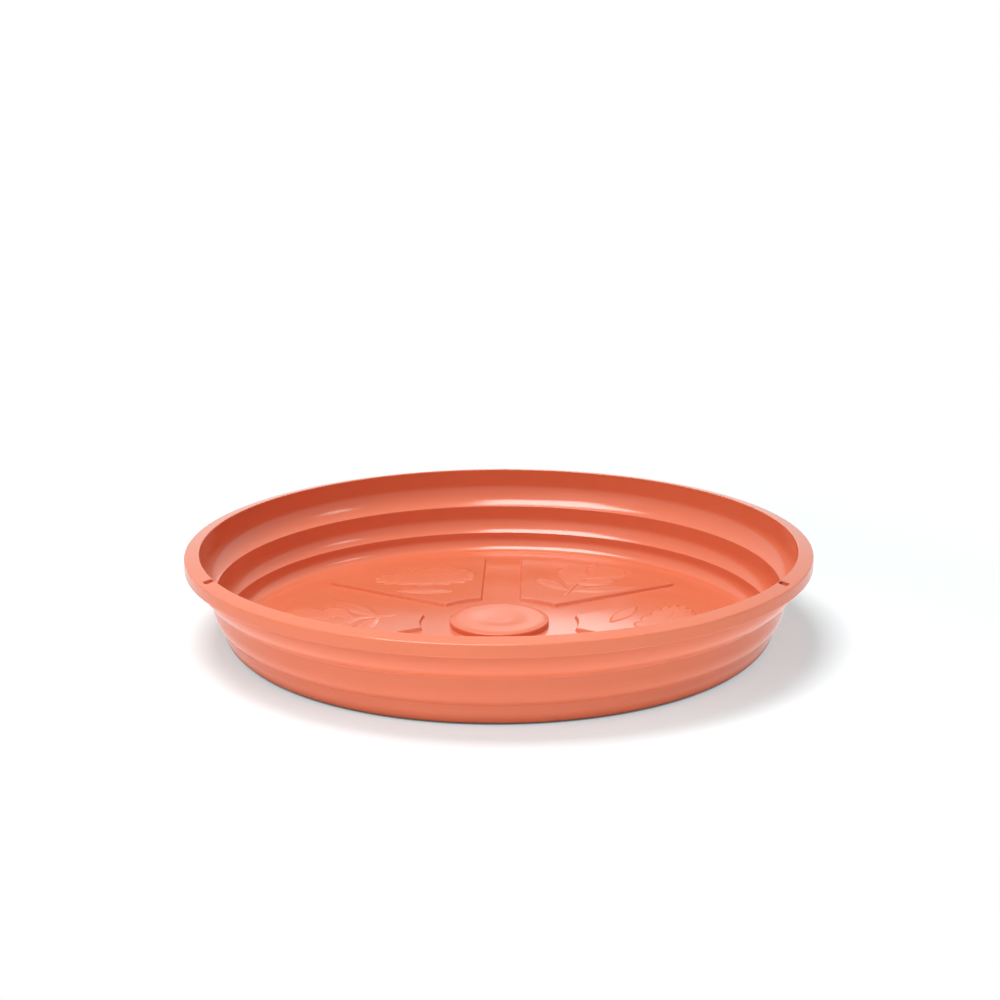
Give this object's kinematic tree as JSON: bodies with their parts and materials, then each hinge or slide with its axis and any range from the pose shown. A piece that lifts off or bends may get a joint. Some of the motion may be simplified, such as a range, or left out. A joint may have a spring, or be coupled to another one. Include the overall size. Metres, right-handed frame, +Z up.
{
  "type": "plant saucer",
  "caption": "Round plant saucer with a slotted falling lip, a coved stepped wall and a floor of raised relief pads between radial channels around a dished boss.",
  "frame": {"origin": "middle of the base, on the surface that the saucer stands on", "axes": "+Z up through the open mouth, +Y through one of the three rim slots"},
  "size_m": [0.3, 0.3, 0.0448],
  "materials": {
    "moulded_plastic": "glossy terracotta polypropylene"
  },
  "bodies": {
    "root": {"rim_lip": "moulded_plastic", "rim_band": "moulded_plastic", "upper_tier": "moulded_plastic", "middle_tier": "moulded_plastic", "lower_tier": "moulded_plastic", "floor_plate": "moulded_plastic", "centre_disc": "moulded_plastic", "floor_pad_1": "moulded_plastic", "floor_pad_2": "moulded_plastic", "floor_pad_3": "moulded_plastic", "floor_pad_4": "moulded_plastic", "floor_pad_5": "moulded_plastic", "floor_pad_6": "moulded_plastic"}
  },
  "joints": []
}
